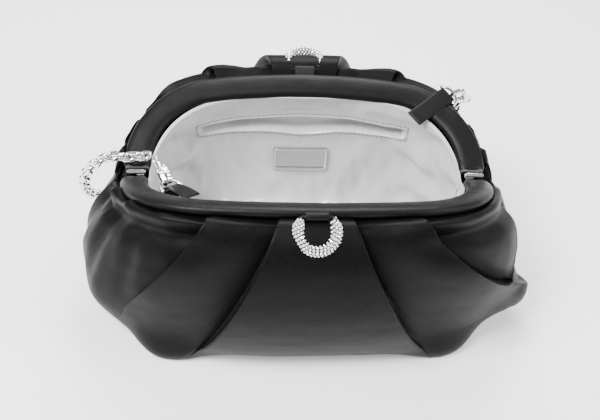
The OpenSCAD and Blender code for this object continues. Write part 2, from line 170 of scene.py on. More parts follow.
def joined(parts):
    """Several (points, faces) pairs as one."""
    verts, faces, at = [], [], 0
    for v, f in parts:
        verts.append(v)
        faces += [[i + at for i in q] for q in f]
        at += len(v)
    return np.concatenate(verts), faces


# ---------- materials ----------

def new_material(name):
    """A material, its node tree and its principled shader."""
    m = bpy.data.materials.new(name)
    m.use_nodes = True
    return m, m.node_tree, m.node_tree.nodes["Principled BSDF"]


def link_coords(nt, scale, **kw):
    """A noise texture in the object's own coordinates."""
    tc = nt.nodes.new("ShaderNodeTexCoord")
    tex = nt.nodes.new("ShaderNodeTexNoise")
    tex.inputs["Scale"].default_value = scale
    for k, v in kw.items():
        tex.inputs[k].default_value = v
    nt.links.new(tc.outputs["Object"], tex.inputs["Vector"])
    return tex


def add_bump(nt, bsdf, tex, strength, distance):
    """Fine relief from a texture."""
    b = nt.nodes.new("ShaderNodeBump")
    b.inputs["Strength"].default_value = strength
    b.inputs["Distance"].default_value = distance
    nt.links.new(tex.outputs["Fac"], b.inputs["Height"])
    nt.links.new(b.outputs["Normal"], bsdf.inputs["Normal"])


def mix_colour(nt, bsdf, tex, low, high, lo=0.3, hi=0.7):
    """Base colour from low to high as the texture goes from lo to hi."""
    r = nt.nodes.new("ShaderNodeValToRGB")
    r.color_ramp.elements[0].position, r.color_ramp.elements[1].position = lo, hi
    r.color_ramp.elements[0].color, r.color_ramp.elements[1].color = (*low, 1), (*high, 1)
    nt.links.new(tex.outputs["Fac"], r.inputs["Fac"])
    nt.links.new(r.outputs["Color"], bsdf.inputs["Base Color"])


def satin_material(name, low, high, rough, sheen, grain, specular=0.075):
    """Closely woven satin: two near tones, fine grain and a soft sheen."""
    m, nt, b = new_material(name)
    b.inputs["Roughness"].default_value = rough
    b.inputs["Sheen Weight"].default_value = sheen
    b.inputs["Sheen Roughness"].default_value = 0.35
    b.inputs["Specular IOR Level"].default_value = specular
    tex = link_coords(nt, 1700, Detail=2.0, Roughness=0.7)
    mix_colour(nt, b, tex, low, high)
    add_bump(nt, b, tex, grain, 0.0003)
    return m


def metal_material(name, colour, rough, scratches=0.0):
    """Metal with a faintly uneven tone, brushed where scratches are given."""
    m, nt, b = new_material(name)
    b.inputs["Metallic"].default_value = 1.0
    b.inputs["Roughness"].default_value = rough
    tex = link_coords(nt, 900, Detail=3.0)
    mix_colour(nt, b, tex, [c * 0.93 for c in colour], colour)
    if scratches:
        add_bump(nt, b, tex, scratches, 0.0001)
    return m


def plain_material(name, low, high, rough, scale, bump):
    """A dull, uneven material, such as foam, board or thread."""
    m, nt, b = new_material(name)
    b.inputs["Roughness"].default_value = rough
    tex = link_coords(nt, scale, Detail=4.0)
    mix_colour(nt, b, tex, low, high)
    add_bump(nt, b, tex, bump, 0.0004)
    return m


BLACK = satin_material("black satin", (0.0008,) * 3, (0.0055,) * 3, 0.38, 0.008, 0.6)
BLACK_TRIM = satin_material("black satin trim", (0.001,) * 3, (0.0065,) * 3, 0.36, 0.01, 0.55, 0.14)
SILVER = satin_material("silver satin", (0.52, 0.52, 0.525), (0.6, 0.6, 0.605), 0.3, 0.1, 0.1, 1.0)
CHROME = metal_material("polished silver plate", (0.86, 0.86, 0.87), 0.07)
PLAQUE = metal_material("satin nickel", (0.5, 0.5, 0.51), 0.28, 0.15)
# Painted shade: near-black metal under the stones, standing in for the shade in the gaps between them.
GAP_SHADE_METAL = metal_material("setting metal painted dark for gap shade", (0.035, 0.035, 0.04), 0.5, 0.2)
STEEL = metal_material("brushed steel", (0.5, 0.5, 0.51), 0.35, 0.3)
FOAM = plain_material("grey foam", (0.03,) * 3, (0.07,) * 3, 0.9, 1500, 0.8)
BOARD = plain_material("fibre board", (0.2, 0.15, 0.1), (0.32, 0.25, 0.17), 0.8, 400, 0.4)
THREAD = plain_material("grey thread", (0.2,) * 3, (0.3,) * 3, 0.6, 4000, 0.5)


def crystal_material():
    """Foil-backed stones: pale, part metallic and glossy."""
    m, nt, b = new_material("foiled crystal")
    b.inputs["Metallic"].default_value = 0.45
    b.inputs["Roughness"].default_value = 0.12
    b.inputs["Coat Weight"].default_value = 0.5
    b.inputs["Coat Roughness"].default_value = 0.02
    tex = link_coords(nt, 700, Detail=1.0)
    mix_colour(nt, b, tex, (0.72, 0.72, 0.74), (1.0, 1.0, 1.0), 0.3, 0.55)
    return m


CRYSTAL = crystal_material()
SLOT_MATERIAL = {"black_satin": BLACK_TRIM, "silver_satin": SILVER, "foam": FOAM, "board": BOARD,
                 "bar_steel": STEEL, "silver_plate": CHROME, "nameplate_metal": PLAQUE,
                 "magnet_plate": STEEL, "crystal": CRYSTAL}
for part in frame["record"]["subparts"]:
    cad = frame["nodes"][part["node"]]
    cad.data.materials.clear()
    cad.data.materials.append(SLOT_MATERIAL[part["material_slot"]])


# ---------- camera ----------

def look():
    """The camera: its turn about the bag, its distance in metres and a small shift across the view."""
    elev, yaw, roll = math.radians(42.5), math.radians(-5.3), math.radians(-4.05)
    back = Vector((math.sin(yaw) * math.cos(elev), -math.cos(yaw) * math.cos(elev), math.sin(elev)))
    right = Vector((math.cos(yaw), math.sin(yaw), 0))
    up = back.cross(right)
    r2 = math.cos(roll) * right - math.sin(roll) * up
    u2 = math.sin(roll) * right + math.cos(roll) * up
    distance, shift_right, shift_up = 0.5242, -0.00471, -0.02276
    at = Vector((0, 0, HINGE_Z * MM)) + distance * back + shift_right * r2 + shift_up * u2
    cam = bpy.data.cameras.new("camera")
    cam.lens, cam.sensor_width, cam.sensor_fit = 49.9, 36, "HORIZONTAL"
    cam.clip_start, cam.clip_end = 0.02, 20
    o = bpy.data.objects.new("camera", cam)
    bpy.context.scene.collection.objects.link(o)
    m = Matrix((r2, u2, back)).transposed().to_4x4()
    m.translation = at
    o.matrix_world = m
    bpy.context.scene.camera = o


look()


# ---------- the chain ----------

ROUTE = [
    [-98, -2, 98.5], [-105, 1.5, 95.5], [-113, 4.5, 92], [-122.5, 7, 90.5], [-132, 10, 83.4],
    [-140.4, 14, 71.8], [-145, 22, 56.5], [-147, 34, 39], [-144, 49, 21], [-135, 63, 8], [-120, 76, 4.5],
    [-98, 85, 4.5],
    [-70, 89, 4.5], [-38, 91, 4.5], [-4, 92, 4.5], [30, 92, 4.5], [58, 92, 4.5], [80, 91, 6], [95, 88, 15],
    [103, 86, 31], [105, 84, 49], [106, 82, 65], [108, 78, 79], [111, 73, 90]]


def arc_places(line, step, lead):
    """Places at even steps along a line, and the line's length."""
    seg = np.linalg.norm(np.diff(line, axis=0), axis=1)
    s = np.concatenate([[0], np.cumsum(seg)])
    where = np.arange(lead, s[-1] - lead * 0.5, step)
    return np.stack([np.interp(where, s, line[:, k]) for k in range(3)], -1), s[-1]


def link_mesh(length, width, wire, sides=9, around=26):
    """One oval link in its own x-y plane."""
    a = np.linspace(0, 2 * math.pi, around, endpoint=False)
    straight = (length - width) / 2
    r = width / 2 - wire
    x = r * np.cos(a) + np.sign(np.cos(a)) * straight * np.minimum(1, np.abs(np.cos(a)) * 4)
    y = r * np.sin(a)
    up = np.tile([0, 0, 1.0], (around, 1))
    return sweep(np.stack([x, y, 0 * a], -1), wire, wire, sides, normal=up, closed=True)


def chain_of_links(name, line, lead):
    """Interlocked oval links along a line, each turned against the one before it."""
    pitch, wire = 5.9, 1.3
    places, total = arc_places(line, pitch, lead)
    tan = unit(np.gradient(places, axis=0))
    base, faces = link_mesh(10.4, 8.2, wire)
    parts = []
    v = np.cross(tan[0], [0.2, 0.4, 1.0])
    for i, (p, t) in enumerate(zip(places, tan)):
        v = v - t * (v @ t)
        v /= np.linalg.norm(v)
        side = np.cross(t, v)
        turn = math.radians(42 if i % 2 else -42)
        y = math.cos(turn) * v + math.sin(turn) * side
        z = np.cross(t, y)
        parts.append((base @ np.array([t, y, z]) + p, faces))
    verts, fs = joined(parts)
    return mesh_object(name, verts, fs, CHROME), total


route = spline(ROUTE, 8)
half = int(np.argmin(np.abs(route[:, 0] - 13.0) + (route[:, 2] > 20) * 1000))
left_line, right_line = route[:half + 1], route[half:][::-1]
for name, line, body, start, end in (
        ("chain_left", left_line, "front_half", (-0.120, 0.020, 0.040), (-0.120, 0.0, 0.095)),
        ("chain_right", right_line, "rear_half", (0.110, 0.085, 0.035), (0.110, 0.075, 0.090))):
    o, total = chain_of_links(name, line, 3.0)
    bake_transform(o)
    if body == "front_half":
        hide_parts("chain")


# ---------- the satin body ----------

# Rows from the rim, hidden under the frame, down to the base: half width, half depth in front and behind,
# squareness along x and y, heights at the sides, in front and behind, and how far the rear is narrowed.
BODY = np.array([
    [111, 63, 63, 4.2, 1.9, 74.8, 105.5, 105.5, 0],
    [115.5, 69.6, 69.6, 4.2, 1.9, 75.0, 108.4, 108.6, 0],
    [119.5, 75, 77, 3.9, 2.0, 77.5, 108.0, 115.0, 0.06],
    [124, 83, 86, 3.4, 2.2, 74.5, 101.0, 113.0, 0.12],
    [129, 89.5, 92, 3.0, 2.4, 65.0, 87.0, 102.0, 0.17],
    [134, 93, 95, 2.8, 2.5, 49.0, 66.0, 78.0, 0.2],
    [136, 92.5, 95, 2.8, 2.6, 33.0, 43.0, 50.0, 0.2],
    [133, 89, 91, 2.9, 2.7, 17.0, 21.0, 24.0, 0.16],
    [126, 82.5, 83, 3.0, 2.9, 5.0, 6.0, 6.0, 0.12],
    [118, 76, 76, 3.2, 3.0, 0.6, 0.6, 0.6, 0.1],
])
PER = 12   # spline rows from one control row to the next


def row_points(row, theta):
    """Points of rows (..., 9) at angles theta, by solving for the radius of a two-power oval."""
    c, s = np.abs(np.cos(theta)), np.abs(np.sin(theta))
    nx, ny = row[..., 3], row[..., 4]
    lo, hi = np.zeros(np.broadcast(c, nx).shape), np.full(np.broadcast(c, nx).shape, 2.0)
    for _ in range(34):
        mid = (lo + hi) / 2
        big = (mid * c) ** nx + (mid * s) ** ny > 1
        hi, lo = np.where(big, mid, hi), np.where(big, lo, mid)
    r = (lo + hi) / 2
    front = np.sin(theta) < 0
    b = np.where(front, row[..., 1], row[..., 2])
    along = r * s
    z = row[..., 5] + (np.where(front, row[..., 6], row[..., 7]) - row[..., 5]) * along
    narrow = 1 - row[..., 8] * smooth(0, 55, b * r * np.sin(theta))
    return np.stack([row[..., 0] * r * np.cos(theta) * narrow, b * r * np.sin(theta), z], -1)


def oval_grid(rows, theta):
    """Surface points for spline rows (R, 9) and a grid of angles (R, C)."""
    return row_points(rows[:, None, :], theta)


def theta_at_x(row, x, front):
    """The angle at which one row passes x, in front or behind."""
    th = np.radians(np.linspace(180, 360, 721) if front else np.linspace(180, 0, 721))
    px = row_points(np.broadcast_to(row, (721, len(row))), th)[:, 0]
    return np.interp(x, px, th)


def along_rows(values):
    """Given values, one per control row, made smooth over all rows."""
    return spline(np.array(values, float)[:, None], PER)[:, 0]


BODY_ROWS = spline(BODY, PER)
NR = len(BODY_ROWS)

# Pleats: x of the fold's edge at each control row, its height, and how deep the cloth beside it lies.
P1_RIGHT = [19, 20, 22, 26, 33, 43, 54, 66, 77, 84]
P1_LEFT = [-19, -20, -22, -26, -32, -41, -51, -62, -73, -80]
P2_RIGHT = [56, 58, 62, 70, 85, 106, 126, 134, 126, 118]
P2_LEFT = [-57, -58, -61, -68, -79, -94, -107, -113, -112, -108]
P1_HIGH = [0.4, 1.5, 2.6, 3.6, 4.4, 4.8, 4.0, 2.0, 0.3, 0]
P1_DEEP = [0.4, 1.5, 3.5, 6.0, 7.8, 8.0, 6.0, 2.6, 0.3, 0]
P2_HIGH = [0.4, 1.8, 3.2, 5.0, 6.6, 7.6, 6.4, 2.6, 0.6, 0.1]
P2_DEEP = [0.4, 1.0, 4.5, 9.5, 11.5, 9.0, 4.5, 1.2, 0.4, 0.1]
P2L_HIGH = [0.4, 1.8, 3.0, 4.2, 5.0, 4.8, 2.4, 0.5, 0, 0]
P2L_DEEP = [0.4, 1.0, 4.0, 8.0, 8.5, 5.0, 1.2, 0.2, 0, 0]


def fold(theta, high, deep, facing):
    """A fold's line of angles down the rows. facing is the side, 1 or -1, that its edge stands over."""
    return {"theta": theta, "high": np.maximum(along_rows(high), 0), "deep": np.maximum(along_rows(deep), 0),
            "facing": facing}


def pleat(xs, front, high, deep, facing):
    """A fold whose line is given by its x at each control row."""
    theta = np.array([theta_at_x(BODY_ROWS[j], x, front) for j, x in enumerate(along_rows(xs))])
    return fold(theta, high, deep, facing)


def side_pleat(degrees, high, deep, facing):
    """A fold near an end of the bag, whose line is given by its angle at each control row."""
    return fold(np.radians(along_rows(degrees)), high, deep, facing)


def edge_height(p, toward):
    """The height of the cloth at a pleat's edge, on the panel that lies on the given side of it."""
    return p["high"] if p["facing"] * toward > 0 else -p["deep"]


def cloth(pleats, ends, spread, dense=30):
    """A pleated stretch of the body between two end angles: points (rows, columns, 3) and heights."""
    knots = [np.full(NR, ends[0])] + [p["theta"] for p in pleats] + [np.full(NR, ends[1])]
    cols, panel = [], []
    for k in range(len(knots) - 1):
        f = 0.5 - 0.5 * np.cos(np.linspace(0, math.pi, dense + 1))
        if k == 0:
            f = np.sin(np.linspace(0, math.pi / 2, dense + 1))
        if k == len(knots) - 2:
            f = 1 - np.cos(np.linspace(0, math.pi / 2, dense + 1))
        f = f[:-1] if k < len(knots) - 2 else f
        for x in f:
            cols.append(knots[k] * (1 - x) + knots[k + 1] * x)
            panel.append((k, x))
    theta = np.stack(cols, 1)
    pts = oval_grid(BODY_ROWS, theta)
    tan = unit(np.gradient(pts, axis=1))
    down = unit(np.gradient(pts, axis=0))
    out = unit(np.cross(down, tan))
    seg = np.linalg.norm(np.diff(pts, axis=1), axis=2)
    s = np.concatenate([np.zeros((NR, 1)), np.cumsum(seg, 1)], 1)
    first = [i for i, (k, x) in enumerate(panel) if x == 0 and k > 0]
    starts = [0] + first + [theta.shape[1] - 1]
    high = np.zeros(theta.shape)
    zero = np.zeros(NR)
    for k in range(len(knots) - 1):
        left = edge_height(pleats[k - 1], -1) if k > 0 else zero
        right = edge_height(pleats[k], 1) if k < len(pleats) else zero
        i0, i1 = starts[k], starts[k + 1]
        idx = np.arange(i0, i1 if k < len(knots) - 2 else i1 + 1)
        f = (s[:, idx] - s[:, [i0]]) / np.maximum(s[:, [i1]] - s[:, [i0]], 1e-6)
        power = np.where((left[:, None] > 0) & (right[:, None] > 0), 1.0, 1.35)
        high[:, idx] = left[:, None] * (1 - f) ** power + right[:, None] * f ** power
    moved = np.zeros(theta.shape)
    for p, i0 in zip(pleats, first):
        d = s - s[:, [i0]]
        w = np.maximum(spread * (0.4 + 0.6 * smooth(0, 40, np.arange(NR)))[:, None], 0.5)
        q = d / w
        strength = np.clip((p["high"] + p["deep"]) / 3.0, 0, 1)[:, None]
        moved += -1.65 * q * np.exp(-q * q / 2) * w * 0.98 * strength
        low_side = q * p["facing"] > 0
        top = np.where(p["facing"] > 0, 1 - smooth(-0.7, 0.7, q), smooth(-0.7, 0.7, q))
        both = (p["high"] + p["deep"])[:, None]
        high += np.where(np.abs(q) < 0.9, both * (top - np.where(low_side, 0.0, 1.0)), 0)
    return pts, tan, out, high, moved, theta


def side_gathers(theta, centre, rows):
    """Soft gathers that run down from a hinge."""
    t = (np.degrees(theta) - centre)
    fade_side = np.exp(-(t / 26.0) ** 2)
    r = rows[:, None] / NR
    fade = smooth(0.03, 0.14, r) * (1 - smooth(0.45, 0.8, r))
    return fade_side * fade * (1.7 * np.sin(t * 0.42 + 5 * r) + 0.9 * np.sin(t * 0.83 + 2.0 - 3 * r))


def lobes(pts, theta):
    """The folds' pointed corners: outward push at a few places low on the body."""
    push = np.zeros(theta.shape)
    deg = np.degrees(theta) % 360
    for at_deg, at_z, wide, tall, amount in (
            (334, 23, 9, 15, 13.0), (207, 24, 14, 18, 7.0), (192, 50, 20, 22, 6.0), (27, 25, 10, 16, 6.0),
            (153, 25, 11, 16, 6.0), (309, 5, 10, 13, 9.0), (231, 5, 10, 13, 10.0), (56, 6, 13, 14, 4.0),
            (124, 6, 13, 14, 4.0)):
        d = (deg - at_deg + 180) % 360 - 180
        push += amount * np.exp(-(d / wide) ** 2 - ((pts[..., 2] - at_z) / tall) ** 2)
    return push


def roll_and_recess(pts, theta, rows):
    """In front, outside the outer pleats: a roll of cloth hugging the frame, and the hollow below it."""
    deg = np.degrees(theta) % 360
    r = rows[:, None] / NR
    left = smooth(250, 236, deg) * smooth(184, 194, deg)
    right = smooth(290, 304, deg) * smooth(356, 348, deg)
    where = np.where(deg < 270, left, right)
    roll = 3.4 * np.exp(-((r - 0.2) / 0.07) ** 2)
    hollow = -4.0 * np.exp(-((r - 0.345) / 0.07) ** 2)
    return where * (roll + hollow)


def rear_lobes(pts, theta, rows):
    """Behind, the cloth only stands above the frame in the middle."""
    x = np.abs(pts[..., 0])
    r = rows[:, None] / NR
    near = smooth(0.1, 0.2, r) * (1 - smooth(0.45, 0.6, r))
    middle = smooth(48, 64, pts[..., 1])
    return near * middle * (-5.5 * smooth(58, 74, x) - 2.5 * smooth(28, 40, x))


def build_cloth(name, pleats, ends, low=0.0, gathers=(), spread=4.0, extra=None):
    pts, tan, out, high, moved, theta = cloth(pleats, ends, spread)
    rows = np.arange(NR, dtype=float)
    edge = smooth(0, 10, rows)[:, None] * (1 - smooth(NR - 8, NR - 1, rows))[:, None]
    wrinkle = 0.5 * noise(pts * [1, 1, 0.35], 55, 3) + 0.18 * noise(pts, 17, 5)
    for centre in gathers:
        wrinkle = wrinkle + side_gathers(theta, centre, rows)
    if extra is not None:
        wrinkle = wrinkle + extra(pts, theta, rows)
    ramp = smooth(0, 8, rows)[:, None]
    total = (high + low) * ramp + wrinkle * edge + lobes(pts, theta) * smooth(20, 50, rows)[:, None]
    flat = unit(out * [1, 1, 0.6])
    new = pts + flat * total[..., None] + tan * moved[..., None]
    new[..., 2] = np.maximum(new[..., 2], 0.5)
    return grid_object(name, new, BLACK, flip=True)


R_SIDE = [351, 350, 348, 344, 339, 334, 332, 331, 331, 331]
front_pleats = [
    pleat(P2_LEFT, True, P2L_HIGH, P2L_DEEP, -1),
    pleat(P1_LEFT, True, P1_HIGH, P1_DEEP, -1),
    pleat(P1_RIGHT, True, P1_HIGH, P1_DEEP, 1),
    pleat(P2_RIGHT, True, P2_HIGH, P2_DEEP, 1),
    side_pleat(R_SIDE, [0, 0, 0, 1.8, 4.2, 4, 2, 0.5, 0, 0], [0, 0, 0, 0.8, 2.2, 2, 1, 0.5, 0, 0], 1),
]
front = build_cloth("satin_front", front_pleats, (math.radians(183), math.radians(357)), gathers=(200,),
                    extra=roll_and_recess)
rear_pleats = [
    pleat(P2_RIGHT, False, P2L_HIGH, P2L_DEEP, -1),
    pleat(P1_RIGHT, False, P1_HIGH, P1_DEEP, -1),
    pleat(P1_LEFT, False, P1_HIGH, P1_DEEP, 1),
    pleat(P2_LEFT, False, P2L_HIGH, P2L_DEEP, 1),
]
rear = build_cloth("satin_rear", rear_pleats, (math.radians(10), math.radians(170)), gathers=(14, 166),
                   extra=rear_lobes)
side_right = build_cloth("satin_side_right", [], (math.radians(-19), math.radians(28)), low=-3.0,
                         gathers=(0,))
side_left = build_cloth("satin_side_left", [], (math.radians(152), math.radians(199)), low=-3.0,
                        gathers=(180,))
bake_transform(front)
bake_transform(rear)
for o in (side_right, side_left):
    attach(o, "bag")
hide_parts("satin_shell")

base_theta = np.linspace(0, 2 * math.pi, 97)[:-1]
rings = [row_points(np.broadcast_to(BODY[-1] * [k, k, k, 1, 1, 1, 1, 1, 1], (96, 9)), base_theta)
         for k in (1.0, 0.97, 0.8, 0.5, 0.1)]
base_pts = np.stack(rings)
base_pts[..., 2] = np.array([1.0, 0.3, 0.0, 0.0, 0.0])[:, None]
base = grid_object("satin_base", base_pts, BLACK, wrap=True)
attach(base, "bag")


# ---------- the padded frame ----------

def arch(inset, start=3.0):
    """The frame's outline, moved inwards by inset: x, height and outward normal, from right to left."""
    w, h, side, big = 115.0, 74.0, 8.0, 62.0
    cx = w - big
    crown = (big ** 2 - cx ** 2 - (side - h) ** 2) / (2 * (side - h + big))
    turn = math.atan2(side - h + crown, cx)
    pts = [(w - inset, z, 1.0, 0.0) for z in np.linspace(start, side, 6)[:-1]]
    pts += [(cx + (big - inset) * math.cos(t), side + (big - inset) * math.sin(t), math.cos(t), math.sin(t))
            for t in np.linspace(0, turn, 46)[:-1]]
    r = crown - inset
    pts += [(r * math.cos(t), h - crown + r * math.sin(t), math.cos(t), math.sin(t))
            for t in np.linspace(turn, math.pi / 2, 26)]
    right = np.array(pts)
    left = right[::-1][1:] * [-1, 1, -1, 1]
    return np.concatenate([right, left])


def to_half(side, x, depth, up):
    """From a half's own x, depth and height to the row frame. side is -1 in front, 1 behind."""
    x, depth, up = np.broadcast_arrays(x, depth, up)
    return np.stack([x, side * (up * SIN + depth * COS), HINGE_Z + up * COS - depth * SIN], -1)


def padded_band(name, side):
    """The foam and satin round one half of the frame, with rounded ends and faint ripples."""
    st = arch(8.25)
    n = len(st)
    d = np.concatenate([[0], np.cumsum(np.hypot(*np.diff(st[:, :2], axis=0).T))])
    end = np.minimum(d, d[-1] - d)
    cap = np.sqrt(np.clip(1 - (1 - np.clip((end + 0.15) / 5.0, 0, 1)) ** 2, 0, 1))
    a = np.linspace(0, 2 * math.pi, 40, endpoint=False)
    power = 2 / 2.7
    sx = np.sign(np.cos(a)) * np.abs(np.cos(a)) ** power
    sy = np.sign(np.sin(a)) * np.abs(np.sin(a)) ** 0.86
    across = 8.4 * sx[None] * (0.35 + 0.65 * cap)[:, None]
    depth = 3.62 * sy[None] * cap[:, None]
    x = st[:, [0]] + across * st[:, [2]]
    up = st[:, [1]] + across * st[:, [3]]
    pts = to_half(side, x, 4.5 + depth, up)
    ripple = 0.16 * noise(pts * [1, 1, 1], 26, 21 + side) + 0.07 * noise(pts, 9, 4)
    bend = np.exp(-((np.abs(st[:, 0]) - 92) / 16) ** 2)[:, None] * (across < 0)
    ripple = ripple + 0.16 * bend * np.sin(d[:, None] * 1.5 + across * 0.3)
    centre = to_half(side, st[:, [0]], 4.5 + 0 * depth, st[:, [1]])
    pts = pts + unit(pts - centre) * ripple[..., None] * np.clip(cap, 0.2, 1)[:, None, None]
    verts = pts.reshape(-1, 3)
    faces = grid_faces(n, 40, wrap=True, flip=side > 0)
    faces += [list(range(40))[::side], [(n - 1) * 40 + i for i in range(40)][::-side]]
    return mesh_object(name, verts, faces, BLACK_TRIM)


for side, body, cad in ((-1, "front_half", "front_cover"), (1, "rear_half", "rear_cover")):
    o = padded_band(body.split("_")[0] + "_band", side)
    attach(o, body)
    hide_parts(cad)


# ---------- the lining ----------

LINING = np.array([
    [99.5, 54.8, 54.8, 3.7, 2.0, 78.4, 105.1, 105.1, 0],
    [98.4, 53.3, 53.3, 3.7, 2.0, 78.0, 104.0, 104.0, 0.02],
    [101, 57.0, 57.0, 3.5, 2.3, 72.0, 97.0, 97.0, 0.08],
    [105, 61.0, 61.0, 3.3, 3.0, 62.0, 84.0, 84.0, 0.13],
    [108, 63.0, 63.0, 3.2, 4.0, 48.0, 60.0, 60.0, 0.15],
    [108, 63.4, 63.4, 3.2, 4.2, 32.0, 36.0, 36.0, 0.13],
    [105, 61.5, 61.5, 3.2, 4.0, 16.0, 17.0, 17.0, 0.08],
    [99, 57.0, 57.0, 3.2, 3.8, 8.6, 8.6, 8.6, 0.04],
    [90, 48, 48, 3.2, 3.4, 7.1, 7.1, 7.1, 0.03],
    [60, 30, 30, 3.0, 3.0, 7.0, 7.0, 7.0, 0],
    [2, 1, 1, 2.0, 2.0, 7.0, 7.0, 7.0, 0],
])
SLIT_HALF, SLIT_Z = 69.5, 77.0


def slit_edges(x):
    u = x / SLIT_HALF
    return SLIT_Z + 6.2 - 2.2 * u * u, SLIT_Z - 4.0 - 3.4 * np.exp(-18 * u * u) + 1.6 * u * u


def lining_half(name, front):
    """Half of the lining, with soft folds. The rear one has the slit pocket's lips and patch."""
    rows = spline(LINING, 12 if front else 60)
    theta = np.radians(np.linspace(180, 360, 201))
    if not front:
        near_slit = np.abs(rows[:, 7] - 76) < 17
        rows = rows[near_slit | (np.arange(len(rows)) % 5 == 0)]
        theta = np.linspace(0, math.pi, 361)
    pts = oval_grid(rows, np.tile(theta, (len(rows), 1)))
    run = np.concatenate([[0], np.cumsum(np.linalg.norm(np.diff(pts[:, pts.shape[1] // 2], axis=0), axis=1))])
    r = (run / run[-1])[:, None]
    down = unit(np.gradient(pts, axis=0))
    tan = unit(np.gradient(pts, axis=1))
    inward = unit(np.cross(tan, down))
    deep = noise(pts * [1, 1, 0.6], 60, 31) * 3.2 + noise(pts * [1, 1, 0.45], 27, 32) * 1.5
    fade = smooth(0.01, 0.07, r) * (1 - smooth(0.62, 0.9, r))
    if not front:
        calm = np.exp(-((pts[..., 2] - 74) / 26) ** 2 - (pts[..., 0] / 80) ** 4)
        flat = np.exp(-((pts[..., 2] - 47) / 19) ** 4 - (pts[..., 0] / 29) ** 4)
        deep = deep * (1 - 0.75 * calm) * (1 - flat)
    corner = smooth(55, 98, np.abs(pts[..., 0]))
    deep = deep + corner * 2.6 * np.sin(pts[..., 2] * 0.2 + pts[..., 0] * 0.07 + pts[..., 1] * 0.04)
    slant = np.abs(pts[..., 0]) * 0.62 + pts[..., 2] * 0.78
    low = smooth(30, 62, np.abs(pts[..., 0])) * np.exp(-((pts[..., 2] - 58) / 20) ** 2)
    deep = deep + low * (3.0 * np.exp(-((slant - 96) / 6) ** 2) + 2.4 * np.exp(-((slant - 116) / 5) ** 2)
                         - 1.2 * np.exp(-((slant - 106) / 4) ** 2))
    pts = pts + inward * (deep * fade)[..., None]
    pts[..., 2] = np.maximum(pts[..., 2], 5.3)
    if not front:
        x, z = pts[..., 0], pts[..., 2]
        top, bottom = slit_edges(x)
        ends = 1 - smooth(SLIT_HALF - 1.0, SLIT_HALF, np.abs(x))
        inside = smooth(bottom - 0.4, bottom + 0.5, z) * (1 - smooth(top - 0.5, top + 0.4, z)) * ends
        lip = np.exp(-((z - bottom) / 1.8) ** 2) + 0.8 * np.exp(-((z - top) / 1.6) ** 2)
        lip = lip * (1 - smooth(SLIT_HALF, SLIT_HALF + 3, np.abs(x))) * (1 - inside)
        gape = np.exp(-((z - bottom) / 7) ** 2) * (1 - smooth(40, 66, np.abs(x))) * (z < bottom)
        wall = (r < 0.6) & (pts[..., 1] > 40)
        pts[..., 1] += np.where(wall, 7.5 * inside - 1.1 * lip - 1.6 * gape, 0)
        patch = smooth(15.5, 13.5, np.abs(x)) * smooth(90.5, 92, z) * smooth(100, 98.5, z)
        pts[..., 1] -= np.where(wall, 0.6 * patch, 0)
        crease = np.exp(-(x / 0.9) ** 2) * smooth(56, 60, z) * smooth(69, 66, z)
        pts[..., 1] += np.where(wall, 0.5 * crease, 0)
    return grid_object(name, pts, SILVER)


lining_front = lining_half("lining_front", True)
lining_rear = lining_half("lining_rear", False)
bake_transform(lining_front)
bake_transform(lining_rear)
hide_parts("lining", "pocket_welt", "pocket_bag")


def stitches():
    """Dashes of thread round the slit."""
    parts = []
    line = []
    for x in np.arange(-SLIT_HALF - 2, SLIT_HALF + 2.1, 0.5):
        line.append((x, slit_edges(np.clip(x, -SLIT_HALF, SLIT_HALF))[0] + 2.4))
    for z in np.arange(0, 1.01, 0.1):
        t, b = slit_edges(SLIT_HALF)
        line.append((SLIT_HALF + 2.2, (t + 2.4) * (1 - z) + (b - 2.6) * z))
    for x in np.arange(SLIT_HALF + 2, -SLIT_HALF - 2.1, -0.5):
        line.append((x, slit_edges(np.clip(x, -SLIT_HALF, SLIT_HALF))[1] - 2.6))
    for z in np.arange(0, 1.01, 0.1):
        t, b = slit_edges(SLIT_HALF)
        line.append((-SLIT_HALF - 2.2, (b - 2.6) * (1 - z) + (t + 2.4) * z))
    line = np.array(line)
    co = np.array([v.co for v in lining_rear.data.vertices]) / MM
    co = co[(co[:, 1] > 40) & (co[:, 2] > 60)]
    d = np.concatenate([[0], np.cumsum(np.hypot(*np.diff(line, axis=0).T))])
    s = 0.0
    while s < d[-1] - 2.4:
        ends = [np.array([np.interp(q, d, line[:, 0]), np.interp(q, d, line[:, 1])])
                for q in (s, s + 1.1, s + 2.2)]
        pts = []
        for k, e in enumerate(ends):
            near = co[np.argmin((co[:, 0] - e[0]) ** 2 + (co[:, 2] - e[1]) ** 2)]
            pts.append([e[0], near[1] - (0.32 if k == 1 else 0.12), e[1]])
        parts.append(sweep(np.array(pts), 0.3, 0.24, 6))
        s += 3.1
    return mesh_object("pocket_stitches", *joined(parts), THREAD)


thread = stitches()
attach(thread, "bag")


# ---------- the paved horseshoe rings ----------

RING_R, TUBE, DROP, TIP = 10.6, 3.4, 8.2, 6.0
PITCH = 2.1   # from stone to stone along a row


def ring_frame(side):
    up, slope = (77.5, -44.0) if side < 0 else (78.5, 8.0)
    p = to_half(side, np.array(0.0), np.array(4.5), np.array(up))
    a = math.radians(slope)
    y = np.array([0, side * math.cos(a), math.sin(a)])     # from the pivot towards the ring's belly
    x = np.array([1.0, 0, 0])
    z = np.cross(x, y) * (1 if side > 0 else -1)
    return p, x, y, z


def crescent_line():
    """Centre line of the horseshoe in its own plane: points, tangents and the tube's radius."""
    out = []
    sweep_a = math.radians(105)
    for a in np.linspace(-sweep_a, sweep_a, 90):
        out.append((RING_R * math.sin(a), DROP + RING_R * math.cos(a), TUBE))
    end = np.array(out[-1][:2])
    t = np.array([math.cos(sweep_a), -math.sin(sweep_a)])
    for k in np.linspace(0, 1, 14)[1:]:
        q = end + t * TIP * k
        out.append((q[0], q[1], TUBE * (1 - k) + 1.25 * k))
    head = [(-x, y, r) for x, y, r in out[:89:-1]]
    return np.array(head + out)


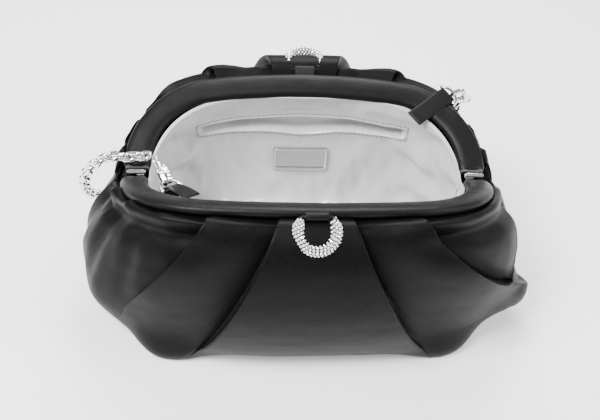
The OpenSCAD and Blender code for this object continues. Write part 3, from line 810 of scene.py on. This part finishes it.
def gem(r, tall):
    """A small faceted stone: table, crown and girdle."""
    n = 8
    a = np.linspace(0, 2 * math.pi, n, endpoint=False)
    rings = [(0.52, tall, 0), (0.86, tall * 0.52, math.pi / n), (1.0, 0.12, 0), (0.92, -0.35, 0)]
    v = [[r * k * math.cos(t + o), r * k * math.sin(t + o), z] for k, z, o in rings for t in a]
    f = [list(range(n))]
    for j in range(3):
        for i in range(n):
            p, q = j * n + i, j * n + (i + 1) % n
            if j == 0:
                f += [[p, n + i, q], [q, n + i, n + (i + 1) % n]]
            elif j == 1:
                f += [[p, 2 * n + (i + 1) % n, q], [p, 2 * n + i, 2 * n + (i + 1) % n]]
            else:
                f += [[p, q, q + n, p + n][::-1]]
    return np.array(v), f


def pave_ring(side, body, name):
    """A horseshoe ring: rows of stones round its domed section, over a metal core with its bar. The core's
    near-black colour is painted shade for the gaps between the stones.
    """
    p, x, y, z = ring_frame(side)
    line = crescent_line()
    d = np.concatenate([[0], np.cumsum(np.hypot(*np.diff(line[:, :2], axis=0).T))])
    tan = np.gradient(line[:, :2], axis=0)
    tan /= np.linalg.norm(tan, axis=1)[:, None]
    stones = []
    base, faces = gem(0.99, 0.7)
    rng = np.random.default_rng(5 + side)
    for j, row in enumerate(range(-99, 100, 33)):
        a = math.radians(row)
        s = 1.2 + (PITCH / 2 if j % 2 else 0.0)
        while s < d[-1] - 1.0:
            cx, cy, r = (np.interp(s, d, line[:, k]) for k in range(3))
            tx, ty = np.interp(s, d, tan[:, 0]), np.interp(s, d, tan[:, 1])
            n2 = unit([-ty, tx])   # square to the tube, in the ring's plane
            up3 = z * math.cos(a) + (x * n2[0] + y * n2[1]) * math.sin(a)
            place = p + x * cx + y * cy + up3 * (r - 0.55)
            t3 = unit(x * tx + y * ty)
            gap = PITCH
            if r > 3.3:   # on the bend, stones on the inside stand at closer angles
                radius = RING_R + up3 @ unit(x * cx + y * (cy - DROP)) * r
                gap = max(PITCH * RING_R / max(radius, 4.0), 1.5)
            enough = r * math.radians(33) > 1.3 or (j % 2 == 1 and r * math.radians(66) > 1.4)
            if enough:
                t = rng.uniform(0, 0.8)
                u3 = np.cross(up3, t3)
                tilt = unit(up3 + 0.09 * rng.normal() * t3 + 0.09 * rng.normal() * u3)
                u3 = unit(np.cross(tilt, t3))
                v3 = np.cross(u3, tilt)
                ax = math.cos(t) * v3 + math.sin(t) * u3
                ay = np.cross(tilt, ax)
                k = 0.87 if r > 2.6 else 0.74
                stones.append((k * base @ np.array([ax, ay, tilt]) + place, faces))
            s += gap
    o = mesh_object(name + "_crystals", *joined(stones), CRYSTAL, smooth_shade=False)
    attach(o, body)
    core = [p + x * cx + y * cy for cx, cy, r in line]
    v, f = sweep(np.array(core), line[:, 2] - 0.45, line[:, 2] - 0.45, 20, normal=np.tile(z, (len(core), 1)))
    bar = sweep(np.array([p - 8.6 * x, p + 8.6 * x]), 1.1, 1.1, 20)
    # The core and bar carry the near-black metal that paints the shade between the stones.
    m = mesh_object(name + "_metal", *joined([(v, f), bar]), GAP_SHADE_METAL)
    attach(m, body)
    return o, m


for side, name in ((-1, "front_ring"), (1, "rear_ring")):
    o, m = pave_ring(side, ("front" if side < 0 else "rear") + "_pave_ring", name)
    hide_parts(name + "_stones")
    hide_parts(name)


# ---------- plaque's raised border ----------

def plaque_border(inset=0.8, count=96):
    """A thin raised rim round the plaque's face. It lies on the front of the CAD plaque."""
    cad = frame["nodes"]["nameplate"]
    corners = np.array([cad.matrix_world @ v.co for v in cad.data.vertices]) / MM
    low, high = corners.min(0), corners.max(0)
    middle, reach = (low + high) / 2, (high - low) / 2 - inset
    a = np.linspace(0, 2 * math.pi, count, endpoint=False)
    most = np.maximum(np.abs(np.cos(a)), np.abs(np.sin(a)))
    rim = np.stack([middle[0] + reach[0] * np.cos(a) / most, np.full(count, low[1] - 0.05),
                    middle[2] + reach[2] * np.sin(a) / most], -1)
    front_way = np.tile([0, -1.0, 0], (count, 1))
    o = mesh_object("plaque_border", *sweep(rim, 0.55, 0.3, 10, normal=front_way, closed=True), CHROME)
    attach(o, "bag")


plaque_border()


# ---------- satin tabs ----------

def ribbon(name, centre, face, width, thick, bulge):
    """A folded satin strip: its middle line, the way its face looks, and a rounded flat section."""
    centre = np.asarray(centre, float)
    n = len(centre)
    tan = unit(np.gradient(centre, axis=0))
    face = unit(face - tan * (face * tan).sum(-1, keepdims=True))
    side = np.cross(tan, face)
    k = 44
    a = np.linspace(0, 2 * math.pi, k, endpoint=False)
    px = np.sign(np.cos(a)) * np.abs(np.cos(a)) ** 0.3
    py = np.sign(np.sin(a)) * np.abs(np.sin(a)) ** 0.55
    u = np.linspace(0, 1, n)[:, None]
    half = width / 2 * (1 + 0.012 * np.sin(u * 9 + 1))
    rise = np.broadcast_to(thick / 2 * py * (1 - bulge * px * px), (n, k))
    pts = centre[:, None] + side[:, None] * (half * px)[..., None] + face[:, None] * rise[..., None]
    faces = grid_faces(n, k, wrap=True)
    faces += [list(range(k))[::-1], [(n - 1) * k + i for i in range(k)]]
    return mesh_object(name, pts.reshape(-1, 3), faces, BLACK_TRIM)


def ring_tab(side, body, name):
    """A short loop of satin from the frame's outer edge round the ring's bar and back."""
    up = 77.5 if side < 0 else 78.5
    a = np.linspace(-0.5 * math.pi, 0.5 * math.pi, 15)
    path = [(4.5 + 1.72, 69), (4.5 + 1.8, 72), (4.5 + 1.78, up - 2)]
    path += [(4.5 - 1.8 * math.sin(t), up + 1.8 * math.cos(t)) for t in a]
    path += [(4.5 - 1.78, up - 2), (4.5 - 1.8, 72), (4.5 - 1.72, 69)]
    path = np.array(path)
    line = to_half(side, 0 * path[:, 0], path[:, 0], path[:, 1])
    t = np.gradient(path, axis=0)
    nrm = unit(np.stack([t[:, 1], -t[:, 0]], -1))
    far = to_half(side, 0 * path[:, 0], path[:, 0] + nrm[:, 0], path[:, 1] + nrm[:, 1])
    o = ribbon(name, line, far - line, 13.2, 1.15, 0.15)
    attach(o, body)
    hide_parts(name.replace("_cloth", ""))


def strap_tab(name, body, start, loop, face, bow):
    """A satin strip folded over the D-ring's bar, lying over the frame."""
    start, loop, face = (np.array(v, float) for v in (start, loop, face))
    along = unit(loop - start)
    face = unit(face - along * (face @ along))
    length = np.linalg.norm(loop - start)
    a = np.linspace(0, math.pi, 15)
    top = [(k * length, 1.7 + bow * math.sin(math.pi * k)) for k in np.linspace(-0.02, 0.94, 16)]
    path = top + [(length + 1.62 * math.sin(t), 1.7 * math.cos(t)) for t in a] \
        + [(length - k, -1.7 + 0.08 * k) for k in (2.0, 5.0, 8.0)]
    path = np.array(path)
    line = start + path[:, :1] * along + path[:, 1:] * face
    t = np.gradient(path, axis=0)
    nrm = unit(np.stack([-t[:, 1], t[:, 0]], -1))
    look_out = nrm[:, :1] * along + nrm[:, 1:] * face
    o = ribbon(name + "_cloth", line, look_out, 11.6, 1.1, 0.12)
    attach(o, body)
    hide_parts(name)


def own(side, x, depth, up):
    """One point of a half, from its own x, depth and height."""
    return to_half(side, np.array(float(x)), np.array(float(depth)), np.array(float(up)))


strap_tab("strap_tab_right", "rear_half", own(1, 71, 2.3, 40.8), own(1, 94.2, 2.3, 59.1),
          (0, -COS, SIN), -0.5)
strap_tab("strap_tab_left", "front_half", own(-1, -70, 4.9, 42), own(-1, -82, 2.6, 29),
          (0.1, 0.25, 0.96), 0.5)
ring_tab(-1, "front_half", "front_ring_tab_cloth")
ring_tab(1, "rear_half", "rear_ring_tab_cloth")


# ---------- floor, light ----------

def stage():
    """A pale floor, an even pale surround and three soft lights."""
    m, nt, b = new_material("pale floor")
    b.inputs["Roughness"].default_value = 0.9
    b.inputs["Specular IOR Level"].default_value = 0.1
    tex = link_coords(nt, 3.0)
    mix_colour(nt, b, tex, (0.9, 0.9, 0.9), (0.92, 0.92, 0.92))
    b.inputs["Emission Color"].default_value = (1, 1, 1, 1)
    b.inputs["Emission Strength"].default_value = 0.3
    corners = [[x * 9000, y * 9000, -0.05] for x, y in ((-1, -1), (1, -1), (1, 1), (-1, 1))]
    floor = mesh_object("floor", corners, [[0, 1, 2, 3]], m, False)
    world = bpy.data.worlds.new("world")
    world.use_nodes = True
    world.node_tree.nodes["Background"].inputs["Color"].default_value = (1, 1, 1, 1)
    world.node_tree.nodes["Background"].inputs["Strength"].default_value = 0.55
    bpy.context.scene.world = world
    for name, at, size, power in (
            ("key", (-0.55, -0.35, 0.95), 0.45, 30),
            ("fill", (0.85, -0.3, 0.7), 0.35, 9),
            ("back", (0.1, 0.7, 1.0), 0.6, 20)):
        light = bpy.data.lights.new(name, "AREA")
        light.shape, light.size, light.energy = "SQUARE", size, power
        o = bpy.data.objects.new(name, light)
        bpy.context.scene.collection.objects.link(o)
        o.location = at
        o.rotation_euler = (Vector((0, 0, 0.06)) - Vector(at)).to_track_quat("-Z", "Y").to_euler()


stage()
